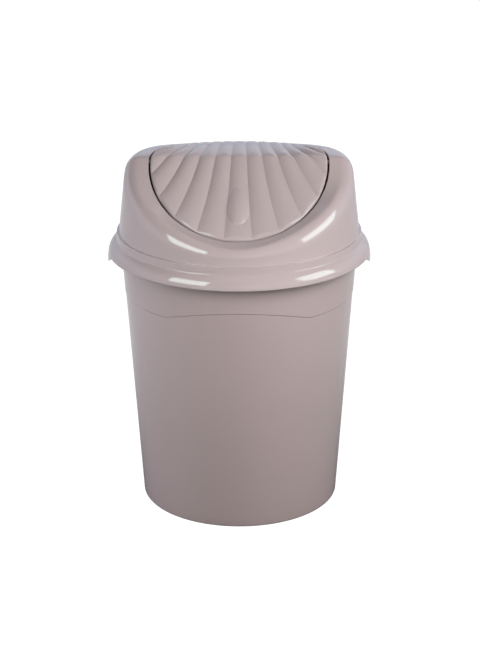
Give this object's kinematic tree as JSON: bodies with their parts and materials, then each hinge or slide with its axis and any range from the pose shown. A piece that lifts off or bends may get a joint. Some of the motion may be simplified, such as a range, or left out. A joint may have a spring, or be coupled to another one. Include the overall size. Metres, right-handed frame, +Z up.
{
  "type": "trash can",
  "caption": "Round tapered plastic trash can with a domed lift-off lid and a fluted swing flap that pivots both ways.",
  "frame": {"origin": "on the ground, at the centre of the bin's footprint", "axes": "+Z up along the bin's axis; the front, with the flap's sloping face and finger pad, faces -Y; +X is to the right seen from the front"},
  "size_m": [0.3606, 0.3588, 0.4906],
  "materials": {
    "bucket_plastic": "glossy injection-moulded polypropylene, dusty rose",
    "lid_plastic": "glossy injection-moulded polypropylene, dusty rose",
    "flap_plastic": "satin-gloss injection-moulded polypropylene, dusty rose"
  },
  "bodies": {
    "bucket": {"bucket": "bucket_plastic"},
    "lid": {"lid": "lid_plastic"},
    "swing_flap": {"swing_flap": "flap_plastic"}
  },
  "joints": [
    {"name": "lid_lift", "type": "slide", "parent": "bucket", "child": "lid", "axis": [0, 0, 1], "range_m": [0, 0.12]},
    {"name": "flap_swing", "type": "hinge", "parent": "lid", "child": "swing_flap", "pos_m": [0, 0.012, 0.4775], "axis": [1, 0, 0], "range_deg": [-75, 90]}
  ]
}
